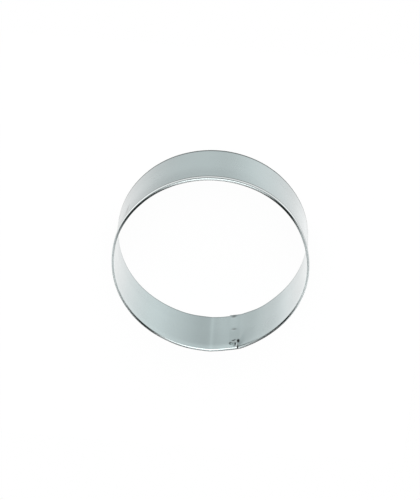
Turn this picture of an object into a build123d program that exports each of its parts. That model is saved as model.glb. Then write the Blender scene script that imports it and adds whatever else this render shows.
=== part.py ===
"""Plain round biscuit cutter: one hemmed strip of sheet, lapped and spot welded.

All lengths are millimetres and all angles degrees. +Z is up and runs along the ring's axis. The
origin is on that axis, at the level of the cutting edge that the cutter stands on, and the lap lies
across +Y. The end that comes from +X lies outside and keeps its hem. The other end, from -X, has
its hem notched away, and the short tongue that is left lies inside.
"""
import os
from math import atan2, cos, degrees, radians, sin, tan

from build123d import *

# The ring
wall_diameter = 75.0          # outside of the plain wall
ring_height = 25.0            # cutting edge to the top of the hem
sheet = 0.3                   # thickness of the strip

# The hem, folded outwards along the upper edge
hem_height = 2.5              # top of the fold to the hem's free edge
hem_gap = 0.3                 # air left between the wall and the folded leg

# The lap
lap_flat = 10.4               # straight stretch of the outer sheet, up to the other sheet's bend
lap_rise = 0.36               # the outer sheet's flat stands this far out from the wall's circle
lap_gap = 0.04                # air between the two sheets
bend_radius = 5.0             # soft bend at each end of the flat, to the middle of the sheet
flank_angle = 42.0            # the wall is a true circle beyond this angle from the lap's middle
outer_end_margin = 0.25       # at its top the outer end stops this far before the bend
end_lean = 1.5                # both ends are cut off square by this much
butt_gap = 0.2                # between the outer end and the hem that it butts
tongue_length = 3.0           # the tongue reaches this far past the outer end
tongue_corner_radius = 0.6    # rounded corners of the tongue
tongue_clearance = 0.9        # the hem's free edge to the tongue's upper edge below it

# The spot welds
weld_diameter = 1.8
weld_inset = 1.3              # weld's middle to the outer end
weld_edge_distance = 1.6      # lowest weld's middle above the cutting edge
weld_tongue_distance = 1.2    # highest weld's middle below the tongue's upper edge
electrode_diameter = 2.4      # round mark that the electrode has pressed in each face
electrode_depth = 0.08

# How far every cut runs past what it cuts
overrun = 2.0

wall_radius = (wall_diameter - sheet) / 2
hem_bend_radius = hem_gap / 2 + sheet
fold_level = ring_height - hem_bend_radius
tongue_top = ring_height - hem_height - tongue_clearance
outer_level = wall_radius + lap_rise
inner_level = outer_level - sheet - lap_gap
half_flat = lap_flat / 2
weld_radius = weld_diameter / 2
highest_weld = tongue_top - weld_tongue_distance
weld_heights = {
    "upper": highest_weld,
    "middle": (highest_weld + weld_edge_distance) / 2,
    "lower": weld_edge_distance,
}


def strip_section():
    """Wall, fold and hem leg as one outline; X is out from the sheet's middle and Y is up.

    The fold is round outside and a sharp crease inside.
    """
    wall_out = sheet / 2
    leg_in = wall_out + hem_gap
    leg_out = leg_in + sheet
    fold_middle = wall_out + hem_gap / 2
    with BuildSketch() as section:
        with BuildLine():
            Polyline(
                (-wall_out, fold_level),
                (-wall_out, 0),
                (wall_out, 0),
                (wall_out, fold_level),
                (fold_middle, ring_height - sheet),
                (leg_in, fold_level),
                (leg_in, ring_height - hem_height),
                (leg_out, ring_height - hem_height),
                (leg_out, fold_level),
            )
            ThreePointArc((leg_out, fold_level), (fold_middle, ring_height), (-wall_out, fold_level))
        make_face()
    return section.sketch


def curved_stretch(centre, radius, start_angle, end_angle):
    """The section carried round a vertical axis, from one angle to the other."""
    x, y = centre
    out = Vector(cos(radians(start_angle)), sin(radians(start_angle)), 0)
    start = Plane(origin=Vector(x, y, 0) + out * radius, x_dir=out, z_dir=out.cross(Vector(0, 0, 1)))
    axis = Axis((x, y, 0), (0, 0, 1))
    return revolve(start * strip_section(), axis, end_angle - start_angle)


def straight_stretch(level, start_x, end_x):
    """The section carried along X, with the sheet's middle at this level in Y."""
    start = Plane(origin=(start_x, level, 0), x_dir=(0, 1, 0), z_dir=(1, 0, 0))
    return extrude(start * strip_section(), end_x - start_x)


def flank_offset(level):
    """How far the flank's centre lies behind the ring's own centre.

    The flank is a little straighter than the wall. It touches the wall's circle at the flank angle
    and the lap's bend, which lies inside it, and this offset is the one that lets it do both.
    """
    bend_y = level - bend_radius
    reach = wall_radius - bend_radius
    along = half_flat * sin(radians(flank_angle)) + bend_y * cos(radians(flank_angle))
    return (half_flat**2 + bend_y**2 - reach**2) / (2 * (reach - along))


def lap_side(level, side):
    """Flank and bend between the wall's circle and the flat; side is 1 towards +X, -1 towards -X."""
    offset = flank_offset(level)
    flank_x = -offset * sin(radians(flank_angle))
    flank_y = -offset * cos(radians(flank_angle))
    bend_y = level - bend_radius
    touch = degrees(atan2(bend_y - flank_y, half_flat - flank_x))
    from_angle, touch_angle = (90 - flank_angle, touch) if side > 0 else (90 + flank_angle, 180 - touch)
    flank = curved_stretch((side * flank_x, flank_y), wall_radius + offset, from_angle, touch_angle)
    bend = curved_stretch((side * half_flat, bend_y), bend_radius, touch_angle, 90)
    return [flank, bend]


def outer_end_x(z):
    """X of the outer end's leaning cut at a height."""
    return outer_end_margin - half_flat + (ring_height - z) * tan(radians(end_lean))


def leaning_cut(shift, low, high, far_x):
    """Everything from the line of the outer end, moved by shift, as far as far_x, between heights."""
    with BuildSketch(Plane.XZ) as outline:
        with BuildLine():
            Polyline(
                (far_x, low),
                (outer_end_x(low) + shift, low),
                (outer_end_x(high) + shift, high),
                (far_x, high),
                close=True,
            )
        make_face()
    return extrude(outline.sketch, -wall_diameter)


def round_cut(x, z, start_y, end_y, radius):
    """Round bar along +Y between two levels."""
    start = Plane(origin=(x, start_y, z), x_dir=(1, 0, 0), z_dir=(0, 1, 0))
    return extrude(start * Circle(radius), end_y - start_y)


def weld_x(z):
    """X of a weld's middle; the row of welds leans as the outer end does."""
    return outer_end_x(z) + weld_inset


def electrode_marks(x, z):
    """The two shallow caps that the electrodes press into the faces of the lap."""
    mark = electrode_diameter / 2
    ball = (mark**2 + electrode_depth**2) / (2 * electrode_depth)
    inner_face = inner_level - sheet / 2
    outer_face = outer_level + sheet / 2
    inner_ball = Pos(x, inner_face + electrode_depth - ball, z) * Sphere(ball)
    outer_ball = Pos(x, outer_face - electrode_depth + ball, z) * Sphere(ball)
    return [inner_ball, outer_ball]


def outer_layer():
    """The end that lies outside: its hem runs right up to the leaning cut."""
    flat = straight_stretch(outer_level, -half_flat, half_flat)
    flat -= leaning_cut(0, -overrun, ring_height + overrun, -wall_diameter)
    return [flat] + lap_side(outer_level, 1)


def inner_layer():
    """The end that shows inside: a plain tongue with rounded corners, and the hem past the notch."""
    flat = straight_stretch(inner_level, -half_flat, half_flat)
    flat -= leaning_cut(tongue_length, -overrun, ring_height + overrun, wall_diameter)
    flank, bend = lap_side(inner_level, -1)
    notch = leaning_cut(-butt_gap, tongue_top, ring_height + overrun, wall_diameter)
    flat -= notch
    bend -= notch
    corners = flat.edges().filter_by(Axis.Y).sort_by(Axis.X)[-2:]
    flat = fillet(corners, tongue_corner_radius)
    return [flat, bend, flank]


def cutter_strip():
    """The whole strip, from the tongue round to the outer end, with pockets for the welds."""
    strip = curved_stretch((0, 0), wall_radius, 90 + flank_angle, 360 + 90 - flank_angle)
    for stretch in inner_layer() + outer_layer():
        strip += stretch
    for z in weld_heights.values():
        x = weld_x(z)
        strip -= round_cut(x, z, inner_level - overrun, outer_level + overrun, weld_radius)
        for cap in electrode_marks(x, z):
            strip -= cap
    return strip


def weld_nugget(z):
    """Plug of fused metal through both sheets, dished at both faces as the sheet round it is."""
    x = weld_x(z)
    nugget = round_cut(x, z, inner_level - sheet / 2, outer_level + sheet / 2, weld_radius)
    for cap in electrode_marks(x, z):
        nugget -= cap
    return nugget


os.makedirs("parts", exist_ok=True)
export_step(cutter_strip(), "parts/cutter_strip.step")
for place, height in weld_heights.items():
    export_step(weld_nugget(height), "parts/weld_nugget_" + place + ".step")
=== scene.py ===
"""Looks of the plain round biscuit cutter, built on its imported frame.

Sizes are written in millimetres and become metres when a mesh is made. The ring stands on its
cutting edge with the hem up, the lap lies across +Y, and the photograph looks down from the side
opposite the lap, with the camera held upside down.
"""
from math import atan2, cos, pi, radians, sin, tan

import bpy
import numpy as np
from mathutils import Matrix, Vector


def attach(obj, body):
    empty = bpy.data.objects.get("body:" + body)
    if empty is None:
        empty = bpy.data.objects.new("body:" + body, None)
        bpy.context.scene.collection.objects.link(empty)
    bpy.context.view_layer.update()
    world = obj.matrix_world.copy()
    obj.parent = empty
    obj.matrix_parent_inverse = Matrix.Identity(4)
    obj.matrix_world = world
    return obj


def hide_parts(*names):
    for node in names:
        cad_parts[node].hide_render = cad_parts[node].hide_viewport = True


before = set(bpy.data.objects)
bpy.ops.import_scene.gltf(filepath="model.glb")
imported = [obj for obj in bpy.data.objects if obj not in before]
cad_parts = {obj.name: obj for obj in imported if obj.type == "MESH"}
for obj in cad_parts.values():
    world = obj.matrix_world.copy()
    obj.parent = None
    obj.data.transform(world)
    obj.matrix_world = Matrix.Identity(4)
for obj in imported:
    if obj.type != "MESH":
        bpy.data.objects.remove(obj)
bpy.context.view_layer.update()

MM = 0.001

# The ring and its strip
WALL_DIAMETER = 75.0
RING_HEIGHT = 25.0
SHEET = 0.3

# The hem
HEM_HEIGHT = 2.5
HEM_GAP = 0.3

# The lap
LAP_FLAT = 10.4
LAP_RISE = 0.36
LAP_GAP = 0.04
BEND_RADIUS = 5.0
FLANK_ANGLE = radians(42)
OUTER_END_MARGIN = 0.25
END_LEAN = radians(1.5)
BUTT_GAP = 0.1
TONGUE_LENGTH = 3.0
TONGUE_CORNER_RADIUS = 0.6
TONGUE_CLEARANCE = 0.9

# The spot welds
WELD_RADIUS = 0.9
WELD_INSET = 1.3
WELD_EDGE_DISTANCE = 1.6
WELD_TONGUE_DISTANCE = 1.2
MARK_RADIUS = 1.2
MARK_DEPTH = 0.08

WALL_RADIUS = (WALL_DIAMETER - SHEET) / 2
FOLD_RADIUS = (HEM_GAP + SHEET) / 2
FOLD_LEVEL = RING_HEIGHT - FOLD_RADIUS - SHEET / 2
FOLD_TOP = FOLD_LEVEL + pi * FOLD_RADIUS / 2    # up the sheet, as the next two are
FOLD_END = FOLD_LEVEL + pi * FOLD_RADIUS
HEM_END = 2 * FOLD_LEVEL + pi * FOLD_RADIUS - RING_HEIGHT + HEM_HEIGHT
TONGUE_TOP = RING_HEIGHT - HEM_HEIGHT - TONGUE_CLEARANCE
OUTER_LEVEL = WALL_RADIUS + LAP_RISE
INNER_LEVEL = OUTER_LEVEL - SHEET - LAP_GAP
HALF_FLAT = LAP_FLAT / 2
UPPER_WELD = TONGUE_TOP - WELD_TONGUE_DISTANCE
WELD_HEIGHTS = {
    "upper": UPPER_WELD,
    "middle": (UPPER_WELD + WELD_EDGE_DISTANCE) / 2,
    "lower": WELD_EDGE_DISTANCE,
}

# Fineness of the lattice
WELD_RING_SIDES = 10          # cells along each side of a weld's ring, a quarter of the ring
WELD_SURROUND = 1.1           # half width of the block of cells that closes on a weld
WELD_MARGIN_STEPS = 3
NUGGET_RINGS = 7
CORNER_STEPS = 8
FOLD_STEPS = 12
HEM_STEPS = 6
WALL_STEP = 0.9
FLANK_STEP = 0.5
BEND_STEP = 0.3
DENT_STEP = 0.15
LAP_SIDE_END = 12.0           # up to here the columns stand closer than on the plain wall
RUBBED = (142.0, 162.0)       # stretch with the handling marks, where they stand closer too


def flank(level):
    """How far a flank's centre lies behind the ring's, and the angle where it meets the bend."""
    bend_y = level - BEND_RADIUS
    reach = WALL_RADIUS - BEND_RADIUS
    along = HALF_FLAT * sin(FLANK_ANGLE) + bend_y * cos(FLANK_ANGLE)
    offset = (HALF_FLAT**2 + bend_y**2 - reach**2) / (2 * (reach - along))
    x, y = -offset * sin(FLANK_ANGLE), -offset * cos(FLANK_ANGLE)
    return offset, x, y, atan2(bend_y - y, HALF_FLAT - x)


def strip_route():
    """The arcs of the strip's plan from the tongue's bend to the outer end's bend.

    Each row is the distance where it starts, its centre, its radius and its first angle.
    """
    outer_offset, outer_x, outer_y, outer_touch = flank(OUTER_LEVEL)
    inner_offset, inner_x, inner_y, inner_touch = flank(INNER_LEVEL)
    arcs = [
        (-HALF_FLAT, INNER_LEVEL - BEND_RADIUS, BEND_RADIUS, pi / 2),
        (-inner_x, inner_y, WALL_RADIUS + inner_offset, pi - inner_touch),
        (0, 0, WALL_RADIUS, pi / 2 + FLANK_ANGLE),
        (outer_x, outer_y, WALL_RADIUS + outer_offset, 5 * pi / 2 - FLANK_ANGLE),
        (HALF_FLAT, OUTER_LEVEL - BEND_RADIUS, BEND_RADIUS, 2 * pi + outer_touch),
    ]
    turns = [arc[3] for arc in arcs] + [5 * pi / 2]
    starts = np.cumsum([0] + [arcs[i][2] * (turns[i + 1] - turns[i]) for i in range(len(arcs))])
    return arcs, starts


ROUTE, ROUTE_STARTS = strip_route()
ROUTE_LENGTH = ROUTE_STARTS[-1]
OUTER_END = ROUTE_LENGTH + LAP_FLAT - OUTER_END_MARGIN
BUTT_LINE = BUTT_GAP - OUTER_END_MARGIN
TONGUE_END = -OUTER_END_MARGIN - TONGUE_LENGTH
OUTER_WELD = OUTER_END - WELD_INSET
TONGUE_WELD = -OUTER_END_MARGIN - WELD_INSET


def plan(distance):
    """Middle line in plan at each distance along the strip: points, and directions outwards.

    Below zero lies the tongue's flat, past the route's length the outer end's flat, and between
    them point = centre + radius (cos a, sin a), where a grows by distance over radius.
    """
    d = np.asarray(distance, float)
    x = np.where(d < 0, -HALF_FLAT - d, HALF_FLAT - (d - ROUTE_LENGTH))
    y = np.where(d < 0, INNER_LEVEL, OUTER_LEVEL) + 0 * d
    out_x, out_y = np.zeros_like(x), np.ones_like(x)
    for (cx, cy, r, turn), low, high in zip(ROUTE, ROUTE_STARTS, ROUTE_STARTS[1:]):
        here = (d >= low) & (d <= high)
        a = turn + (d - low) / r
        x, y = np.where(here, cx + r * np.cos(a), x), np.where(here, cy + r * np.sin(a), y)
        out_x, out_y = np.where(here, np.cos(a), out_x), np.where(here, np.sin(a), out_y)
    return x, y, out_x, out_y


def smooth(low, high, value):
    """Rises smoothly from 0 at low to 1 at high."""
    t = np.clip((value - low) / (high - low), 0, 1)
    return t * t * (3 - 2 * t)


def bell(value, middle, half_width):
    """1 at the middle, and falls off on both sides."""
    return np.exp(-(((value - middle) / half_width) ** 2))


def band(value, start, full, fade, end):
    """Rises smoothly from 0 at start to 1 at full, and falls back from 1 at fade to 0 at end."""
    return smooth(start, full, value) * (1 - smooth(fade, end, value))


def steps(low, high, size):
    """Even steps of about this size from low up to, but not including, high."""
    return np.linspace(low, high, max(1, round((high - low) / size)) + 1)[:-1]


def weld_block(middle):
    """Lines of the lattice across one weld: even inside its radius, closer together around it."""
    inside = np.linspace(-WELD_RADIUS, WELD_RADIUS, WELD_RING_SIDES + 1)
    around = np.linspace(WELD_RADIUS, WELD_SURROUND, WELD_MARGIN_STEPS + 1)[1:]
    return middle + np.concatenate([-around[::-1], inside, around])


def column_lines():
    """Distances along the strip of the lattice's columns, taken at the top of the ring.

    They stand closest at the butt, round the welds and at the tongue's corners.
    """
    corner = TONGUE_CORNER_RADIUS * (1 - np.cos(np.linspace(0, pi / 2, CORNER_STEPS + 1)))
    tongue_weld, outer_weld = weld_block(TONGUE_WELD), weld_block(OUTER_WELD)
    parts = [
        TONGUE_END + corner[:-1],
        steps(TONGUE_END + corner[-1], tongue_weld[0], DENT_STEP),
        tongue_weld,
        steps(tongue_weld[-1], BUTT_LINE, 0.12)[1:],
        steps(BUTT_LINE, 1.5, 0.1),
        steps(1.5, ROUTE_STARTS[1] + 1, BEND_STEP),
        steps(ROUTE_STARTS[1] + 1, LAP_SIDE_END, FLANK_STEP),
        steps(LAP_SIDE_END, RUBBED[0], WALL_STEP),
        steps(*RUBBED, BEND_STEP),
        steps(RUBBED[1], ROUTE_STARTS[4] - 1, WALL_STEP),
        steps(ROUTE_STARTS[4] - 1, ROUTE_LENGTH + 2, 0.2),
        steps(ROUTE_LENGTH + 2, outer_weld[0] - 3, FLANK_STEP),
        steps(outer_weld[0] - 3, outer_weld[0], DENT_STEP),
        outer_weld,
        [OUTER_END],
    ]
    return np.concatenate(parts)


def row_lines():
    """Distances up the wall, over the fold and down the hem's leg of the lattice's rows."""
    parts = [[0]]
    low = 0
    for name, step in (("lower", 0.4), ("middle", 0.6), ("upper", 0.6)):
        block = weld_block(WELD_HEIGHTS[name])
        if name == "upper":
            parts.append(steps(low, block[0] - 1.6, step)[1:])
            parts.append(steps(block[0] - 1.6, block[0], 0.2))
        else:
            parts.append(steps(low, block[0], step)[1:])
        parts.append(block)
        low = block[-1]
    parts += [
        steps(TONGUE_TOP, FOLD_LEVEL, DENT_STEP),
        steps(FOLD_LEVEL, FOLD_END, pi * FOLD_RADIUS / FOLD_STEPS),
        np.linspace(FOLD_END, HEM_END, HEM_STEPS + 1),
    ]
    return np.concatenate(parts)


def section(up):
    """Middle line of the section: how far out and how high, and the sheet's own outward normal.

    The wall is straight up, the fold is a half circle, and the leg comes straight down again.
    """
    turn = np.clip((up - FOLD_LEVEL) / FOLD_RADIUS, 0, pi)
    out = FOLD_RADIUS * (1 - np.cos(turn))
    rise = np.minimum(up, FOLD_LEVEL) + FOLD_RADIUS * np.sin(turn)
    rise -= np.maximum(up - FOLD_END, 0)
    return out, rise, -np.cos(turn), np.sin(turn)


def close_on_welds(columns, rows, middle):
    """Draws the square rings of cells round each weld in to circles.

    A point on the square of half width m goes to the circle of radius m, at an angle that runs
    evenly round the square, and the change fades out between the weld and the block's edge.
    """
    for weld_height in WELD_HEIGHTS.values():
        a, b = columns - middle, rows - weld_height
        m = np.maximum(np.abs(a), np.abs(b))
        near = (m <= WELD_SURROUND + 1e-6) & (m > 1e-6)
        wide = np.abs(a) >= np.abs(b)
        big = np.where(wide, a, b)
        ratio = np.where(near, np.where(wide, b, a) / np.where(big == 0, 1, big), 0)
        angle = pi / 4 * ratio
        round_a = np.where(wide, big * np.cos(angle), big * np.sin(angle))
        round_b = np.where(wide, big * np.sin(angle), big * np.cos(angle))
        share = np.where(near, 1 - smooth(WELD_RADIUS, WELD_SURROUND, m), 0)
        columns = columns + share * (round_a - a)
        rows = rows + share * (round_b - b)
    return columns, rows


def weld_distance(distance, height, middle):
    """Distance of each point of the lap from the nearest weld's middle."""
    away = [np.hypot(distance - middle, height - z) for z in WELD_HEIGHTS.values()]
    return np.min(away, axis=0)


def dish(away):
    """Depth of the electrode's mark at a distance from the weld's middle: a shallow bowl."""
    t = np.clip(away / MARK_RADIUS, 0, 1)
    return MARK_DEPTH * (1 - t * t) ** 1.5


# Slow waves round the wall: how far out, how many go round, where they start, and how far the start
# shifts from the cutting edge to the top. All are set in, so that none passes the ring's own size.
WAVES = [
    (0.022, 5, 0.6, 0.5),
    (0.012, 11, 2.1, -0.8),
    (0.006, 23, 0.4, 1.3),
    (0.003, 41, 1.7, -1.1),
]
WAVES_INSET = 0.055


def waviness(x, y, height):
    """How far the wall strays from true, outwards.

    It is the sum of size times sin(count a + start + shift h), where a is the angle round the ring
    and h the share of the ring's height.
    """
    a, h = np.arctan2(y, x), height / RING_HEIGHT
    waves = sum(size * np.sin(count * a + start + shift * h) for size, count, start, shift in WAVES)
    return waves - WAVES_INSET


def lap_place(distance):
    """Distance of a point of the lap from the line of the outer end, towards the tongue's tip."""
    return np.where(distance > ROUTE_LENGTH / 2, OUTER_END - distance, -OUTER_END_MARGIN - distance)


def spots(rows, place, height):
    """The sum of some long round spots, each a bell curve along it times one across it.

    Each row is a spot's place, height, half length, half width, turn and strength.
    """
    total = 0
    for middle, level, long, wide, turn, strength in rows:
        a, b = place - middle, height - level
        along, across = a * cos(turn) + b * sin(turn), b * cos(turn) - a * sin(turn)
        total = total + strength * bell(along, 0, long) * bell(across, 0, wide)
    return total


# Small dents round the upper weld, in the sheet that shows inside: place from the outer end's line,
# height, half length, half width, turn from the strip's direction, and how far in the sheet is
# pressed. Below zero it is pressed out.
DENTS = [
    (1.7, 20.5, 0.90, 0.22, radians(-12), -0.060),
    (2.1, 19.4, 0.60, 0.40, radians(-20), 0.035),
    (0.9, 21.2, 0.45, 0.22, radians(40), -0.050),
    (2.4, 18.3, 0.70, 0.45, radians(-35), 0.020),
    (3.3, 19.8, 0.80, 0.30, radians(-35), 0.018),
    (-0.45, 20.3, 0.70, 0.26, radians(90), -0.110),
]

# Where the wall is bent otherwise than its plan, beside the lap and at two places of the hem:
# distance along the strip, half length before it and after it, and how far out at the cutting edge
# and at the top
STRAYS = [
    (ROUTE_LENGTH - 1.5, 6.0, 3.4, -0.40, -0.30),
    (9.0, 4.5, 6.0, 0.33, 0.10),
    (76.0, 12.0, 18.0, 0.0, 0.34),
    (152.0, 13.0, 9.0, 0.0, 0.28),
]

# Beside the lap the waves fade out over this distance. The tongue's lean fades out between the next
# two, and the outer end's lean over the last.
WAVES_FADE = 6.0
LEAN_START, LEAN_END = 1.0, 5.0

# The notched hem's push: how far out, and where it has faded along the strip. It sets in at the
# tongue's upper edge, by the slope lower down further along, and is full a little under the top.
HEM_PUSH = 0.31
PUSH_LENGTH = 10.0
PUSH_SLOPE, LARGEST_DROP = 3.0, 10.0
PUSH_FULL = 1.2


def stray_bend(distance, height):
    """The wall's departure from its plan, outwards: bell curves whose two sides differ."""
    total = 0
    for place, before, after, low, high in STRAYS:
        half_length = np.where(distance < place, before, after)
        far = low + (high - low) * height / RING_HEIGHT
        total = total + far * bell(distance, place, half_length)
    return total


def pushed_hem(distance, height):
    """How far the notched hem is pushed out at its end, to lie flush with the one that it butts."""
    foot = TONGUE_TOP - np.clip(PUSH_SLOPE * distance, 0, LARGEST_DROP)
    along = (1 - smooth(0, PUSH_LENGTH, distance)) * (distance > BUTT_LINE - 1e-6)
    return HEM_PUSH * along * smooth(foot, RING_HEIGHT - PUSH_FULL, height)


def strip_surface(distance, up, side):
    """Points of one skin of the strip; side is 1 for the face that is outside on the wall, or -1.

    A point lies at plan(distance), moved out by the section and by half a sheet to its side. Near
    the two ends the columns lean as the ends' cuts do. The electrodes' marks, the dents and the
    hem's push then shape the lap, the waves move the rest of the wall, and the strays bend both.
    """
    out, rise, out_side, up_side = section(up)
    leaning = np.where(distance < ROUTE_LENGTH / 2, 1 - smooth(LEAN_START, LEAN_END, distance), 0)
    leaning = leaning + smooth(ROUTE_LENGTH, ROUTE_LENGTH + LEAN_END, distance)
    along = distance - leaning * (RING_HEIGHT - rise) * tan(END_LEAN)
    x, y, out_x, out_y = plan(along)
    if side < 0:
        pressed = np.where(distance < 0, dish(weld_distance(distance, up, TONGUE_WELD)), 0)
    else:
        pressed = np.where(distance > ROUTE_LENGTH, -dish(weld_distance(distance, up, OUTER_WELD)), 0)
    off_lap = band(distance, 0, WAVES_FADE, ROUTE_LENGTH - WAVES_FADE, ROUTE_LENGTH)
    dents = spots(DENTS, lap_place(distance), up) * (distance < ROUTE_LENGTH / 2) * (up < FOLD_LEVEL)
    stray = waviness(x, y, rise) * off_lap - dents
    stray = stray + pushed_hem(distance, rise) + stray_bend(distance, rise)
    radial = out - side * SHEET / 2 * out_side + pressed + stray
    height = rise + side * SHEET / 2 * up_side
    return np.stack([x + radial * out_x, y + radial * out_y, height], -1)


CORNER_REACH = 5.0            # the rows are drawn in up to this far from the tongue's corners


def lattice():
    """The strip's lattice: distance and height up the sheet at each crossing, and its metal cells."""
    column, row = column_lines(), row_lines()
    distance, up = np.meshgrid(column, row, indexing="ij")
    for middle in (TONGUE_WELD, OUTER_WELD):
        distance, up = close_on_welds(distance, up, middle)

    # The tongue's rounded corners draw its last rows in
    e = np.clip(distance - TONGUE_END, 0, TONGUE_CORNER_RADIUS)
    inset = TONGUE_CORNER_RADIUS - np.sqrt(TONGUE_CORNER_RADIUS**2 - (TONGUE_CORNER_RADIUS - e) ** 2)
    by_foot = 1 - smooth(0, CORNER_REACH, up)
    by_top = smooth(TONGUE_TOP - CORNER_REACH, TONGUE_TOP, up)
    up = up + inset * (by_foot - by_top)

    metal = np.ones((len(column) - 1, len(row) - 1), bool)
    middle_column, middle_row = (column[1:] + column[:-1]) / 2, (row[1:] + row[:-1]) / 2
    metal[np.ix_(middle_column < BUTT_LINE, middle_row > TONGUE_TOP)] = False
    for weld in (TONGUE_WELD, OUTER_WELD):
        for z in WELD_HEIGHTS.values():
            pocket = abs(middle_column - weld) < WELD_RADIUS, abs(middle_row - z) < WELD_RADIUS
            metal[np.ix_(*pocket)] = False
    return distance, up, metal


SMOOTH_BELOW = radians(40)


def new_piece(name, points, faces, material_of_face, materials):
    """A mesh in metres from points in millimetres, smooth but for its sharp edges."""
    mesh = bpy.data.meshes.new(name)
    mesh.from_pydata(points * MM, [], faces)
    for material in materials:
        mesh.materials.append(material)
    mesh.polygons.foreach_set("material_index", np.asarray(material_of_face, np.int32))
    mesh.polygons.foreach_set("use_smooth", np.ones(len(mesh.polygons), bool))
    mesh.set_sharp_from_angle(angle=SMOOTH_BELOW)
    mesh.update()
    piece = bpy.data.objects.new(name, mesh)
    bpy.context.scene.collection.objects.link(piece)
    return piece


def add_point_value(mesh, name, values):
    """Stores one number for each point of the mesh, for its material to read."""
    attribute = mesh.attributes.new(name, "FLOAT", "POINT")
    attribute.data.foreach_set("value", np.asarray(values, np.float32))


HEAT_REACH = 0.55


def heat_of(distance, up):
    """Heat tint round the welds: a soft ring of discolour that starts at the weld's own edge."""
    tongue = weld_distance(distance, up, TONGUE_WELD)
    outer = weld_distance(distance, up, OUTER_WELD)
    return bell(np.minimum(tongue, outer), WELD_RADIUS, HEAT_REACH)


# Soot and painted shade on the lap, round the butt and the welds: soot from the welds, and painted
# shade in the butt's slit, in creases and in dents. Place from the outer end's line, height, half
# length, half width, turn from the strip's direction, and how dark
SOOT_AND_SHADE = [
    (-0.56, 20.25, 0.85, 0.38, radians(90), 3.5),
    (-0.24, 24.6, 1.60, 0.30, radians(90), 1.3),
    (2.6, 20.95, 0.55, 0.26, 0, 1.2),
    (1.6, 21.25, 1.20, 0.20, 0, 0.6),
    (0.64, 22.1, 1.10, 0.28, radians(90), 0.9),
    (1.1, 23.0, 0.80, 0.50, radians(90), 0.4),
    (1.39, 19.65, 0.50, 0.22, radians(-8), 2.0),
    (0.78, 19.1, 0.40, 0.24, 0, 1.1),
    (1.9, 21.75, 0.90, 0.22, 0, 0.45),
    (-1.2, 22.2, 1.60, 1.00, radians(70), 0.22),
    (0.95, 11.0, 0.90, 0.62, 0, 0.5),
    (1.1, 0.9, 1.10, 0.75, 0, 0.62),
]

# Faint rubs from handling on the outside of the wall: distance along the strip, height, half length,
# half width, turn from the strip's direction, and how dark
RUBS = [
    (145.3, 16.1, 2.40, 0.65, radians(72), 0.45),
    (156.5, 3.6, 3.00, 0.90, radians(-49), 0.32),
]


def burn_and_shade_of(distance, up):
    """Soot and painted shade on the lap, from 0 to 1."""
    return np.clip(spots(SOOT_AND_SHADE, lap_place(distance), up), 0, 1)


def summed(rows, distance):
    """The sum of some bell curves along the strip: distance, half length and strength."""
    return sum(strength * bell(distance, place, half_length) for place, half_length, strength in rows)


def strongest(rows, distance):
    """The highest of some bell curves along the strip: distance, half length and strength."""
    curves = [strength * bell(distance, place, half_length) for place, half_length, strength in rows]
    return np.max(curves, axis=0)


def polish_and_highlight_of(distance, up, side):
    """Where the strip is rubbed smooth and carries a painted highlight, from 0 to 1.

    That is the fold's crest and the hem's leg and, inside at the lap, a line by the outer end and a
    spot beside the soot.
    """
    place, tongue = lap_place(distance), distance < ROUTE_LENGTH / 2
    crest = bell(up, FOLD_TOP - 0.02, 0.32)
    leg = smooth(FOLD_TOP + 0.7, FOLD_TOP + 1.2, up)
    by_end = 0.9 * bell(place, 0.30, 0.14) * smooth(20.6, 21.2, up) * (side < 0) * ~tongue
    by_soot = 0.7 * bell(place, 0.4, 0.3) * bell(up, 20.7, 0.5) * (side < 0) * tongue
    return np.max((crest, leg, by_end, by_soot), axis=0)


# Painted shade and dark reflections along the fold: the stretches where each shows, as distance
# along the strip, half length and how dark, the level up the sheet that its limits count from, and
# its limits, as for a band. They are on the fold's inner side, under it, all over it and on its
# outer side.
FOLD_LINES = [
    ([(22.0, 9.0, 1.0), (195.0, 8.0, 1.0)], FOLD_LEVEL, (-0.22, -0.02, 0.3, 0.45)),
    ([(2.0, 5.0, 0.8)], FOLD_LEVEL, (-1.0, -0.75, -0.4, -0.2)),
    ([(57.0, 20.0, 0.17), (174.0, 20.0, 0.17)], FOLD_LEVEL, (0.0, 0.2, 3.0, 4.0)),
    ([(107.0, 20.0, 0.8), (83.0, 5.0, 0.45)], FOLD_TOP, (0.25, 0.38, 1.0, 1.3)),
]

# The painted dark reflection on the fold's crest: where it shows, how dark it gets, the stretches
# where it is wide, and how far past the top of the fold it ends where it is narrow and where it is
# wide
CREST_LINE = (97.0, 20.0, 0.95)
CREST_DARKEST = 0.97
WIDE_CREST = [(75.0, 7.5, 1.0), (140.0, 15.0, 1.0)]
NARROW_END, WIDE_END = 0.06, 0.37

# Beside the lap a painted dark line of shade lies on the fold's outer side. It fades out between
# these distances.
LAP_LINE_FADE = (12.0, 26.0)


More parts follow.
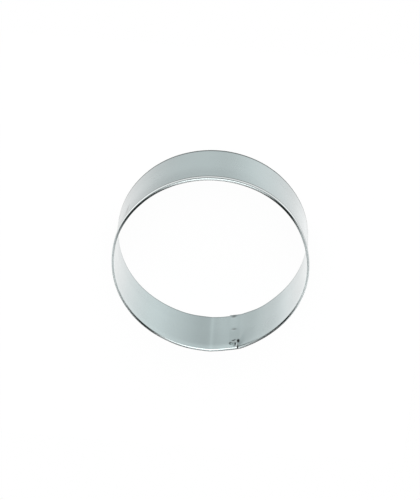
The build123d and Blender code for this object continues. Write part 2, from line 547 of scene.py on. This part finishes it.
def painted_shade_of(distance, up, side):
    """Painted shade in dark lines along the strip, from 0 to 1.

    They are painted dark reflections along the fold, and painted shadow by the hem's free edge and
    by the cutting edge. The last is darker and wider on the outside.
    """
    lines = []
    for rows, level, limits in FOLD_LINES:
        lines.append(strongest(rows, distance) * band(up - level, *limits))

    wide = strongest(WIDE_CREST, distance)
    end = FOLD_TOP + NARROW_END + (WIDE_END - NARROW_END) * wide
    crest = band(up, FOLD_TOP - 0.4, FOLD_TOP - 0.3, end - 0.08, end + 0.08)
    lines.append(np.clip(strongest([CREST_LINE], distance) + wide, 0, CREST_DARKEST) * crest)

    tongue = distance < ROUTE_LENGTH / 2
    from_lap = np.minimum(np.abs(distance), np.abs(ROUTE_LENGTH - distance))
    start = FOLD_TOP - np.where(tongue, 0.14 * bell(distance, 1.5, 3), 0.18)
    by_lap = band(up, start, start + 0.12, FOLD_TOP + 0.8, FOLD_TOP + 1.1)
    lines.append(np.where(tongue, 0.95, 1.0) * (1 - smooth(*LAP_LINE_FADE, from_lap)) * by_lap)

    # Painted shadow under the hem's free edge and along the cutting edge
    free_edge = smooth(HEM_END - 0.6, HEM_END - 0.25, up)
    cutting_edge = 1 - smooth(0.35 + 0.1 * side, 1.0 + 0.1 * side, up)
    lines += [0.9 * free_edge, (0.67 + 0.18 * side) * cutting_edge]
    return np.max(lines, axis=0)


# Soft bands of painted light and shade, standing in for the tones that the wall reflects, on the
# inside and on the outside of the ring: distance along the strip, half length, and how much lighter
INSIDE_BANDS = [
    (-1.0, 5.0, -0.02),
    (4.5, 6.0, -0.07),
    (14.0, 7.0, -0.04),
    (23.0, 5.0, 0.09),
    (31.0, 10.0, 0.11),
    (38.0, 6.0, 0.07),
    (43.5, 5.0, 0.20),
    (165.0, 4.0, 0.14),
    (171.0, 7.0, 0.08),
    (185.0, 18.0, 0.14),
    (202.0, 5.0, 0.07),
    (208.0, 13.0, 0.07),
    (221.0, 6.0, -0.10),
    (ROUTE_LENGTH - 0.25, 0.85, 0.15),
    (ROUTE_LENGTH + 5.5, 3.5, 0.04),
]
OUTSIDE_BANDS = [
    (56.5, 5.0, 0.24),
    (64.0, 5.0, 0.10),
    (80.0, 11.0, 0.03),
    (87.5, 6.5, 0.05),
    (101.0, 4.5, -0.05),
    (124.0, 13.0, -0.13),
    (152.0, 4.0, 0.06),
]

# Outside, painted shade darkens the wall towards the hem: how much, the heights where that sets in
# and is full, and where it is faint, as distance along the strip, half length and the share that
# is gone
HEM_SHADE = 0.08
HEM_SHADE_RISE = (12.0, 19.0)
FAINT_SHADE = (74.0, 22.0, 0.9)

# Inside, painted light makes the wall lighter under the fold, a little all round and more near the
# lap, and lighter low down at the lap: the heights where that sets in or fades out, how much all
# round, and the distance along the strip, the half length and how much near the lap
FOLD_GLEAM_RISE = (20.3, 23.2)
FOLD_GLEAM = 0.05
LAP_GLEAM = (OUTER_END - 5.0, 18.0, 0.21)
LOW_GLEAM_FALL = (6.0, 15.0)
LOW_GLEAM = [(-1.3, 3.2, 0.15), (ROUTE_LENGTH + 2.0, 5.0, 0.065)]

# Painted highlights as light lines on the fold and on the hem's leg: distance along the strip, half
# length, how much lighter, and where each starts and ends up the sheet
RIM_GLEAM = [
    (140.0, 13.0, 0.35, FOLD_TOP + 0.35, HEM_END - 0.5),
    (73.0, 7.0, 0.35, FOLD_TOP + 0.8, HEM_END - 0.1),
    (117.0, 12.0, 0.30, FOLD_TOP + 0.05, FOLD_TOP + 0.6),
]
GLEAM_RISE, GLEAM_FALL = 0.2, 0.3


def painted_light_and_rubs_of(distance, up, side):
    """Painted light and shade on the sheet, with the handling rubs, as a factor about 1 on its
    colour.

    The painted bands, the painted shade and the rubs outside, and the painted light inside fade where
    the sheet is polished. The painted highlights on the rim come on top.
    """
    if side > 0:
        shade = HEM_SHADE * (1 - summed([FAINT_SHADE], distance))
        change = summed(OUTSIDE_BANDS, distance) - spots(RUBS, distance, up)
        change = change - shade * smooth(*HEM_SHADE_RISE, up) * (up < FOLD_TOP)
    else:
        gleam = FOLD_GLEAM + summed([LAP_GLEAM], distance)
        change = summed(INSIDE_BANDS, distance)
        change = change + gleam * smooth(*FOLD_GLEAM_RISE, up) * (up < FOLD_TOP)
        change = change + summed(LOW_GLEAM, distance) * (1 - smooth(*LOW_GLEAM_FALL, up))
    painted_light_and_rubs = 1 + change * (1 - polish_and_highlight_of(distance, up, side))
    for place, half_length, lighter, low, high in RIM_GLEAM:
        line = band(up, low, low + GLEAM_RISE, high - GLEAM_FALL, high)
        painted_light_and_rubs = painted_light_and_rubs + lighter * bell(distance, place, half_length) * line
    return painted_light_and_rubs


def make_strip(sheet_material, edge_material):
    """The whole strip as one closed skin: both faces of the sheet, and its cut edges between them."""
    distance, up, metal = lattice()
    columns, rows = distance.shape
    count = distance.size
    number = np.arange(count).reshape(columns, rows)
    corner = [number[:-1, :-1], number[1:, :-1], number[1:, 1:], number[:-1, 1:]]
    cells = np.stack([c[metal] for c in corner], -1)
    inner, outer = cells[:, ::-1], cells + count

    # A side that only one cell has is a cut edge of the sheet, and gets a face across it
    start, end = cells.ravel(), np.roll(cells, -1, axis=1).ravel()
    key = np.minimum(start, end) * count + np.maximum(start, end)
    _, place, times = np.unique(key, return_index=True, return_counts=True)
    cut = place[times == 1]
    edges = np.stack([end[cut] + count, start[cut] + count, start[cut], end[cut]], -1)

    points = np.concatenate([strip_surface(distance, up, side).reshape(-1, 3) for side in (-1, 1)])
    faces = np.concatenate([inner, outer, edges])
    kinds = np.concatenate([np.zeros(2 * len(cells), int), np.ones(len(edges), int)])
    used, renumbered = np.unique(faces, return_inverse=True)
    faces = renumbered.reshape(faces.shape)
    strip = new_piece("strip", points[used], faces.tolist(), kinds, [sheet_material, edge_material])

    flat = np.stack([np.tile(v.ravel(), 2) for v in (distance, up)], -1)[used]
    layer = strip.data.uv_layers.new(name="strip_cm")
    layer.data.foreach_set("uv", (flat[faces.ravel()] / 10).astype(np.float32).ravel())
    # Weld tint, soot and painted shade, polish and painted highlights, painted shade, painted light
    add_point_value(strip.data, "heat", heat_of(*flat.T))
    add_point_value(strip.data, "burn_and_shade", burn_and_shade_of(*flat.T))
    for name, value_of in (("polish_and_highlight", polish_and_highlight_of), ("painted_shade", painted_shade_of), ("painted_light_and_rubs", painted_light_and_rubs_of)):
        values = np.concatenate([value_of(distance, up, side).ravel() for side in (-1, 1)])
        add_point_value(strip.data, name, values[used])
    return strip


def make_nugget(place, weld_material):
    """One weld: a plug through both sheets whose two faces carry on the electrodes' marks.

    Each face is rings of points at radius r and angle a round the weld, on the strip's own surface.
    """
    rings, sectors = NUGGET_RINGS, 4 * WELD_RING_SIDES
    r = np.linspace(0, WELD_RADIUS, rings)[1:, None]
    a = np.linspace(0, 2 * pi, sectors, endpoint=False)[None, :]
    across, high = r * np.cos(a), r * np.sin(a) + WELD_HEIGHTS[place]
    points, faces, burn_and_shade = [], [], []
    for weld, side in ((TONGUE_WELD, -1), (OUTER_WELD, 1)):
        first = len(points) * (1 + (rings - 1) * sectors)
        middle = strip_surface(np.array([float(weld)]), np.array([WELD_HEIGHTS[place]]), side)
        rest = strip_surface(weld + across, high, side).reshape(-1, 3)
        points.append(np.concatenate([middle, rest]))
        # Soot and painted shade from the lap's table
        burn_and_shade.append(burn_and_shade_of(np.append(weld, weld + across), np.append(WELD_HEIGHTS[place], high)))
        ring = first + 1 + np.arange((rings - 1) * sectors).reshape(rings - 1, sectors)
        after = np.roll(ring, -1, axis=1)
        fan = np.stack([np.full(sectors, first), ring[0], after[0]], -1)
        quads = np.stack([ring[:-1], ring[1:], after[1:], after[:-1]], -1).reshape(-1, 4)
        faces += [f[::side].tolist() for f in fan] + [f[::side].tolist() for f in quads]
        if side > 0:
            inner_rim = ring[-1] - first
            barrel = np.stack([inner_rim, np.roll(inner_rim, -1), after[-1], ring[-1]], -1)
            faces += barrel.tolist()
    points, kinds = np.concatenate(points), [0] * len(faces)
    nugget = new_piece("spot_weld_" + place, points, faces, kinds, [weld_material])
    add_point_value(nugget.data, "burn_and_shade", np.concatenate(burn_and_shade))
    return nugget


def node(tree, kind, settings=None, **inputs):
    """A shader node with its settings and inputs; an input is a value or another node's output.

    The inputs i0, i1 and so on are given by their number, and the others by their name.
    """
    made = tree.nodes.new("ShaderNode" + kind)
    for key, value in (settings or {}).items():
        setattr(made, key, value)
    for key, value in inputs.items():
        numbered = key[0] == "i" and key[1:].isdigit()
        socket = made.inputs[int(key[1:]) if numbered else key.replace("_", " ")]
        if isinstance(value, bpy.types.NodeSocket):
            tree.links.new(value, socket)
        else:
            socket.default_value = value
    return made


def math(tree, operation, a, b=0.0, clamp=False):
    """Output of one Math node."""
    return node(tree, "Math", {"operation": operation, "use_clamp": clamp}, i0=a, i1=b).outputs[0]


def blended(tree, share, a, b, blend="MIX"):
    """Colour that goes from a to b by share."""
    mix = tree.nodes.new("ShaderNodeMix")
    mix.data_type, mix.blend_type = "RGBA", blend
    for socket, value in ((mix.inputs[0], share), (mix.inputs[6], a), (mix.inputs[7], b)):
        if isinstance(value, bpy.types.NodeSocket):
            tree.links.new(value, socket)
        else:
            socket.default_value = value
    return mix.outputs[2]


def ramp(tree, share, stops):
    """Colour that goes through the stops as share grows; each stop is a place and a colour."""
    made = node(tree, "ValToRGB", Fac=share)
    elements = made.color_ramp.elements
    for element, (place, colour) in zip(elements, (stops[0], stops[-1])):
        element.position, element.color = place, colour + (1,)
    for place, colour in stops[1:-1]:
        elements.new(place).color = colour + (1,)
    return made.outputs[0]


def ranged(tree, value, low, high, to_low=0.0, to_high=1.0):
    """The value carried from one range to another, clamped."""
    made = node(tree, "MapRange", i0=value, i1=low, i2=high, i3=to_low, i4=to_high)
    return made.outputs[0]


def effect(name, inputs, outputs):
    """An empty node group with named inputs and outputs, and its two end nodes."""
    tree = bpy.data.node_groups.new(name, "ShaderNodeTree")
    sockets = tree.interface
    for label, kind, default in inputs:
        socket = sockets.new_socket(name=label, in_out="INPUT", socket_type="NodeSocket" + kind)
        if default is not None:
            socket.default_value = default
    for label, kind in outputs:
        sockets.new_socket(name=label, in_out="OUTPUT", socket_type="NodeSocket" + kind)
    return tree, tree.nodes.new("NodeGroupInput"), tree.nodes.new("NodeGroupOutput")


def rolling_grain():
    """Fine lines that the rolls leave along the strip, broken up along their length."""
    tree, given, result = effect(
        "rolling_grain",
        [("Along", "Vector", None), ("Length", "Float", 1.2), ("Fineness", "Float", 160.0)],
        [("Grain", "Float")],
    )
    scale = node(tree, "CombineXYZ", i0=given.outputs["Length"], i1=given.outputs["Fineness"], i2=1.0)
    along, drawn_out = given.outputs["Along"], scale.outputs[0]
    line = node(tree, "VectorMath", {"operation": "MULTIPLY"}, i0=along, i1=drawn_out)
    fine = node(tree, "TexNoise", Vector=line.outputs[0], Scale=1.0, Detail=4.0, Roughness=0.65)
    tree.links.new(fine.outputs["Fac"], result.inputs["Grain"])
    return tree


def cloudiness():
    """Soft uneven patches in a finish: large clouds with smaller ones in them."""
    tree, given, result = effect(
        "cloudiness",
        [("Place", "Vector", None), ("Scale", "Float", 120.0), ("Contrast", "Float", 1.0)],
        [("Cloud", "Float")],
    )
    place, scale = given.outputs["Place"], given.outputs["Scale"]
    noise = node(tree, "TexNoise", Vector=place, Scale=scale, Detail=3.0, Roughness=0.55)
    spread = math(tree, "SUBTRACT", noise.outputs["Fac"], 0.5)
    spread = math(tree, "MULTIPLY", spread, given.outputs["Contrast"])
    tree.links.new(math(tree, "ADD", spread, 0.5, clamp=True), result.inputs["Cloud"])
    return tree


# Tint that multiplies a metal's own colour, from cold metal to the hottest
HEAT_TINTS = [
    (0.0, (1.0, 1.0, 1.0)),
    (0.35, (0.92, 0.94, 0.94)),
    (0.7, (0.76, 0.79, 0.79)),
    (1.0, (0.56, 0.60, 0.61)),
]

# Colours of metal in its states, of painted shade, and of soot with painted shade
DULL_METAL = (0.30, 0.35, 0.35, 1)
# Rubbed metal, whose paler colour is a painted highlight
RUBBED_AND_HIGHLIGHT_METAL = (0.74, 0.78, 0.78, 1)
TORN_METAL, SHEARED_METAL = (0.36, 0.40, 0.40, 1), (0.56, 0.60, 0.60, 1)
FUSED_DARK, FUSED_PALE = (0.36, 0.41, 0.41, 1), (0.46, 0.52, 0.52, 1)
# Painted shade: dark reflections and shadow in lines along the fold and the edges
PAINTED_SHADE_DARK = (0.025, 0.038, 0.036, 1)
# Soot round the welds, which also serves as painted shade in the slit, creases and dents
SOOT_AND_SHADE_BLACK = (0.018, 0.020, 0.020, 1)
WHITE = (1, 1, 1, 1)


def heat_tint():
    """Grey discolour round a weld, which multiplies a metal's own colour, and soot and painted shade
    on top.
    """
    tree, given, result = effect(
        "heat_tint",
        [
            ("Colour", "Color", (0.5, 0.5, 0.5, 1)),
            ("Heat", "Float", 0.0),
            ("Soot", "Float", 0.0),
            ("Uneven", "Float", 0.5),
        ],
        [("Colour", "Color")],
    )
    uneven = ranged(tree, given.outputs["Uneven"], 0.3, 0.7, 0.35, 1.0)
    heat = math(tree, "MULTIPLY", given.outputs["Heat"], uneven)
    coloured = blended(tree, 1.0, given.outputs["Colour"], ramp(tree, heat, HEAT_TINTS), "MULTIPLY")
    sooted_and_shaded = blended(tree, given.outputs["Soot"], coloured, SOOT_AND_SHADE_BLACK)
    tree.links.new(sooted_and_shaded, result.inputs["Colour"])
    return tree


def placed(tree, group, **inputs):
    """A node group placed in a material with its own values."""
    made = tree.nodes.new("ShaderNodeGroup")
    made.node_tree = group
    for key, value in inputs.items():
        if isinstance(value, bpy.types.NodeSocket):
            tree.links.new(value, made.inputs[key])
        else:
            made.inputs[key].default_value = value
    return made.outputs[0]


def new_metal(name, roughness, anisotropic=0.0):
    """A material with one Principled shader set as bare metal."""
    material = bpy.data.materials.new(name)
    material.use_nodes = True
    tree = material.node_tree
    shader = tree.nodes["Principled BSDF"]
    shader.inputs["Metallic"].default_value = 1.0
    shader.inputs["Roughness"].default_value = roughness
    shader.inputs["Anisotropic"].default_value = anisotropic
    return material, tree, shader


# Colour of the sheet by how far it turns away from the eye: bluish grey face on, and pale at a
# slant, where the paleness is a painted sheen
SHEET_COLOURS_AND_SHEEN = [
    (0.48, (0.380, 0.450, 0.455)),
    (0.575, (0.485, 0.562, 0.565)),
    (0.65, (0.542, 0.604, 0.608)),
    (0.755, (0.632, 0.668, 0.670)),
    (0.87, (0.695, 0.716, 0.716)),
    (1.0, (0.745, 0.760, 0.758)),
]


def sheet_colour_and_sheen(tree):
    """The sheet's own colour, with a painted sheen that lightens it as it turns away from the eye."""
    return ramp(tree, node(tree, "LayerWeight", Blend=0.5).outputs["Facing"], SHEET_COLOURS_AND_SHEEN)


def bright_sheet(grain, cloud, tint):
    """Satin bright sheet: rolling lines along it, clouds of duller metal, painted light and shade.

    Rubbed lines carry a painted highlight, and painted light and shade in bands and in dark lines
    multiply and darken the colour. Heat tint, and soot and painted shade round the welds come on top.
    """
    material, tree, shader = new_metal("bright_sheet", 0.25, 0.35)
    place = tree.nodes.new("ShaderNodeTexCoord").outputs["Object"]
    along = node(tree, "UVMap", {"uv_map": "strip_cm"}).outputs[0]
    # Weld tint, soot and painted shade, polish and painted highlights, painted shade, painted light
    heat, burn_and_shade, polish_and_highlight, painted_shade, painted_light_and_rubs = (
        node(tree, "Attribute", {"attribute_name": name}).outputs["Fac"]
        for name in ("heat", "burn_and_shade", "polish_and_highlight", "painted_shade", "painted_light_and_rubs")
    )
    lines = placed(tree, grain, Along=along, Length=0.9, Fineness=150.0)
    patches = placed(tree, cloud, Place=place, Scale=95.0, Contrast=1.4)
    specks = placed(tree, cloud, Place=place, Scale=900.0, Contrast=1.2)

    dulled = ranged(tree, patches, 0.2, 0.8, 0.10, 0.0)
    clouded = blended(tree, dulled, sheet_colour_and_sheen(tree), DULL_METAL)
    lined = blended(tree, ranged(tree, lines, 0.3, 0.7, 0.08, 0.0), clouded, DULL_METAL)
    # Rubbed lines, paler as a painted highlight
    rubbed_and_highlighted = blended(tree, polish_and_highlight, lined, RUBBED_AND_HIGHLIGHT_METAL)
    # Painted light and shade, with the handling rubs, multiply the colour
    painted_lit = blended(tree, 1.0, rubbed_and_highlighted, painted_light_and_rubs, "MULTIPLY")
    # Painted shade: dark lines of reflection and shadow darken the colour
    shaded = blended(tree, painted_shade, painted_lit, PAINTED_SHADE_DARK)
    # Heat tint, then soot and painted shade, on top
    colour = placed(tree, tint, Colour=shaded, Heat=heat, Soot=burn_and_shade, Uneven=specks)
    tree.links.new(colour, shader.inputs["Base Color"])

    dull = math(tree, "MULTIPLY", patches, 0.08)
    dull = math(tree, "ADD", dull, ranged(tree, lines, 0.25, 0.75, 0.22, 0.30))
    dull = math(tree, "ADD", dull, math(tree, "MULTIPLY", heat, 0.12))
    dull = math(tree, "SUBTRACT", dull, math(tree, "MULTIPLY", polish_and_highlight, 0.14))
    dull = math(tree, "ADD", dull, math(tree, "MULTIPLY", burn_and_shade, 0.3))
    tree.links.new(dull, shader.inputs["Roughness"])

    relief = math(tree, "ADD", lines, math(tree, "MULTIPLY", specks, 0.5))
    kept = math(tree, "SUBTRACT", 1.0, math(tree, "MULTIPLY", polish_and_highlight, 0.8))
    relief = math(tree, "MULTIPLY", relief, kept)
    bump = node(tree, "Bump", Strength=0.12, Distance=0.00002, Height=relief)
    tree.links.new(bump.outputs[0], shader.inputs["Normal"])
    tangent = node(tree, "Tangent", {"direction_type": "UV_MAP", "uv_map": "strip_cm"})
    tree.links.new(tangent.outputs[0], shader.inputs["Tangent"])
    return material


def sheared_edge(cloud):
    """Cut edge of the sheet: brighter where it sheared, dull and torn below, with the lap's soot and
    painted shade.
    """
    material, tree, shader = new_metal("sheared_edge", 0.35)
    place = tree.nodes.new("ShaderNodeTexCoord").outputs["Object"]
    torn = placed(tree, cloud, Place=place, Scale=2600.0, Contrast=1.8)
    plain = blended(tree, torn, TORN_METAL, SHEARED_METAL)
    burn_and_shade = node(tree, "Attribute", {"attribute_name": "burn_and_shade"}).outputs["Fac"]
    tree.links.new(blended(tree, burn_and_shade, plain, SOOT_AND_SHADE_BLACK), shader.inputs["Base Color"])
    tree.links.new(ranged(tree, torn, 0.2, 0.8, 0.28, 0.5), shader.inputs["Roughness"])
    bump = node(tree, "Bump", Strength=0.3, Distance=0.00002, Height=torn)
    tree.links.new(bump.outputs[0], shader.inputs["Normal"])
    return material


def weld_metal(cloud, tint):
    """Fused metal of a weld, pressed by the electrode: dull, mottled, tinted by heat, with soot and
    painted shade.
    """
    material, tree, shader = new_metal("weld_metal", 0.4)
    place = tree.nodes.new("ShaderNodeTexCoord").outputs["Object"]
    mottle = placed(tree, cloud, Place=place, Scale=1500.0, Contrast=2.0)
    burn_and_shade = node(tree, "Attribute", {"attribute_name": "burn_and_shade"}).outputs["Fac"]
    plain = blended(tree, mottle, FUSED_DARK, FUSED_PALE)
    colour = placed(tree, tint, Colour=plain, Heat=0.35, Soot=burn_and_shade, Uneven=mottle)
    tree.links.new(colour, shader.inputs["Base Color"])
    tree.links.new(ranged(tree, mottle, 0.2, 0.8, 0.30, 0.46), shader.inputs["Roughness"])
    bump = node(tree, "Bump", Strength=0.35, Distance=0.00004, Height=mottle)
    tree.links.new(bump.outputs[0], shader.inputs["Normal"])
    return material


# The camera's side of the ring, and the studio set round it
CAMERA_TURN = radians(-102.35)
CAMERA_HEIGHT = radians(60.61)
CAMERA_DISTANCE = 1003.1
CAMERA_ROLL = radians(184.51)
CAMERA_RIGHT, CAMERA_UP = 0.623, -0.151
LENS = 185.8


def camera_frame():
    """Directions from the ring to the camera, to the right and up, as the level camera sees them."""
    level = cos(CAMERA_HEIGHT)
    back = Vector((level * cos(CAMERA_TURN), level * sin(CAMERA_TURN), sin(CAMERA_HEIGHT)))
    right = Vector((-sin(CAMERA_TURN), cos(CAMERA_TURN), 0))
    return back, right, back.cross(right)


def make_camera():
    """Camera at the photograph's angle, aimed at the middle of the ring's height."""
    back, right, up = camera_frame()
    c, s = cos(CAMERA_ROLL), sin(CAMERA_ROLL)
    camera = bpy.data.objects.new("camera", bpy.data.cameras.new("camera"))
    camera.data.lens = LENS
    camera.data.clip_start, camera.data.clip_end = 0.01, 20
    axes = Matrix((c * right + s * up, c * up - s * right, back)).transposed()
    place = back * CAMERA_DISTANCE + right * CAMERA_RIGHT + up * CAMERA_UP
    place += Vector((0, 0, RING_HEIGHT / 2))
    camera.matrix_world = Matrix.Translation(place * MM) @ axes.to_4x4()
    bpy.context.scene.collection.objects.link(camera)
    bpy.context.scene.camera = camera


def seen_by_eye(tree):
    """1 for rays from the camera, and for those that metal or glass sends on, otherwise 0."""
    path = tree.nodes.new("ShaderNodeLightPath")
    seen = math(tree, "ADD", path.outputs["Is Camera Ray"], path.outputs["Is Glossy Ray"], clamp=True)
    return math(tree, "ADD", seen, path.outputs["Is Transmission Ray"], clamp=True)


CARD_SIDE = 85.0              # from the ring's axis to the card's edges
CARD_FRONT = 80.0
CARD_BACK = 100.0
CARD_LEVEL = -0.01
CARD_GLOW = 0.96


def make_floor():
    """White card under the ring. Part of what the eye sees of it glows, so its shadow stays faint."""
    turn = CAMERA_TURN + pi / 2
    near, far = -CARD_FRONT, CARD_BACK
    corners = [(-CARD_SIDE, near), (CARD_SIDE, near), (CARD_SIDE, far), (-CARD_SIDE, far)]
    c, s = cos(turn), sin(turn)
    points = [((x * c - y * s) * MM, (x * s + y * c) * MM, CARD_LEVEL * MM) for x, y in corners]
    mesh = bpy.data.meshes.new("floor")
    mesh.from_pydata(points, [], [(0, 1, 2, 3)])
    floor = bpy.data.objects.new("floor", mesh)
    bpy.context.scene.collection.objects.link(floor)
    material = bpy.data.materials.new("white_card")
    material.use_nodes = True
    tree = material.node_tree
    shader = tree.nodes["Principled BSDF"]
    shader.inputs["Base Color"].default_value = (0.9, 0.9, 0.9, 1)
    shader.inputs["Roughness"].default_value = 1.0
    shader.inputs["Specular IOR Level"].default_value = 0.0
    glow = node(tree, "Emission", Color=WHITE, Strength=1.0)
    share = math(tree, "MULTIPLY", seen_by_eye(tree), CARD_GLOW)
    mix = node(tree, "MixShader", i0=share, i1=shader.outputs[0], i2=glow.outputs[0])
    tree.links.new(mix.outputs[0], tree.nodes["Material Output"].inputs["Surface"])
    mesh.materials.append(material)


# The studio's light is a wedge, broad on the camera's side, that narrows over the ring and ends
# blunt a little behind it, and a fainter panel on each side behind it. The room shows dark between
# them, and low down.
WEDGE_LIGHT = 1.95
PANEL_LIGHT = 1.5
STUDIO_DARK = 0.015
WEDGE_SLOPE, WEDGE_POINT, WEDGE_END, WEDGE_FOOT = 0.58, 0.45, 0.25, 0.15
PANEL_START, PANEL_END, PANEL_FOOT = 0.36, 0.08, 0.08
STUDIO_BLUR = 0.12


def past(tree, value, limit):
    """Rises softly from 0 to 1 as the value passes the limit."""
    return ranged(tree, value, limit - STUDIO_BLUR / 2, limit + STUDIO_BLUR / 2)


def make_studio():
    """The wedge and the panels as bounds on the direction looked in, each with a soft edge.

    z is up, x is to the camera's right and y is away from it. The wedge has |x| under WEDGE_SLOPE
    times (WEDGE_POINT - y), y under WEDGE_END and z over WEDGE_FOOT; a panel has |x| over
    PANEL_START, y over PANEL_END and z over PANEL_FOOT. The camera itself sees white there, as the
    card is.
    """
    world = bpy.data.worlds.new("studio")
    bpy.context.scene.world = world
    world.use_nodes = True
    tree = world.node_tree
    direction = tree.nodes.new("ShaderNodeTexCoord").outputs["Generated"]
    turn = -(CAMERA_TURN + pi / 2)
    turned = node(tree, "Mapping", Vector=direction, Rotation=(0, 0, turn)).outputs[0]
    part = node(tree, "SeparateXYZ", i0=turned)
    sideways = math(tree, "ABSOLUTE", part.outputs["X"])
    away, up = part.outputs["Y"], part.outputs["Z"]
    half = math(tree, "MULTIPLY", math(tree, "SUBTRACT", WEDGE_POINT, away), WEDGE_SLOPE)
    wedge = past(tree, math(tree, "SUBTRACT", half, sideways), 0.0)
    wedge = math(tree, "MULTIPLY", wedge, past(tree, up, WEDGE_FOOT))
    wedge = math(tree, "MULTIPLY", wedge, past(tree, math(tree, "SUBTRACT", WEDGE_END, away), 0.0))
    panel = past(tree, up, PANEL_FOOT)
    for value, limit in ((sideways, PANEL_START), (away, PANEL_END)):
        panel = math(tree, "MULTIPLY", panel, past(tree, value, limit))
    lit = math(tree, "MULTIPLY", wedge, WEDGE_LIGHT - STUDIO_DARK)
    lit = math(tree, "ADD", lit, math(tree, "MULTIPLY", panel, PANEL_LIGHT - STUDIO_DARK))
    level = math(tree, "ADD", lit, STUDIO_DARK)
    seen = node(tree, "CombineXYZ", i0=level, i1=level, i2=level).outputs[0]
    camera_ray = tree.nodes.new("ShaderNodeLightPath").outputs["Is Camera Ray"]
    background = tree.nodes["Background"]
    tree.links.new(blended(tree, camera_ray, seen, WHITE), background.inputs["Color"])


def make_lamp(name, towards, distance, width, length, power):
    """Soft lamp aimed at the ring, from a direction given as to the camera's right, away and up."""
    turn = CAMERA_TURN + pi / 2
    x, y, z = towards
    out = Vector((x * cos(turn) - y * sin(turn), x * sin(turn) + y * cos(turn), z)).normalized()
    across = Vector((cos(turn), sin(turn), 0))
    light = bpy.data.lights.new(name, "AREA")
    light.shape, light.size, light.size_y, light.energy = "RECTANGLE", width, length, power
    lamp = bpy.data.objects.new(name, light)
    turned = Matrix((across, out.cross(across), out)).transposed().to_4x4()
    lamp.matrix_world = Matrix.Translation(out * distance) @ turned
    lamp.visible_camera = False
    bpy.context.scene.collection.objects.link(lamp)


grain, cloud, tint = rolling_grain(), cloudiness(), heat_tint()
sheet_material = bright_sheet(grain, cloud, tint)
edge_material = sheared_edge(cloud)
weld_material = weld_metal(cloud, tint)

strip = make_strip(sheet_material, edge_material)
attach(strip, "root")
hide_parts("cutter_strip")
for place in WELD_HEIGHTS:
    nugget = make_nugget(place, weld_material)
    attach(nugget, "root")
    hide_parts("weld_nugget_" + place)

bpy.context.scene.view_settings.view_transform = "Standard"
make_camera()
make_floor()
make_studio()
make_lamp("overhead", towards=(0.0, -1.0, 1.0), distance=0.8, width=0.45, length=0.9, power=3)
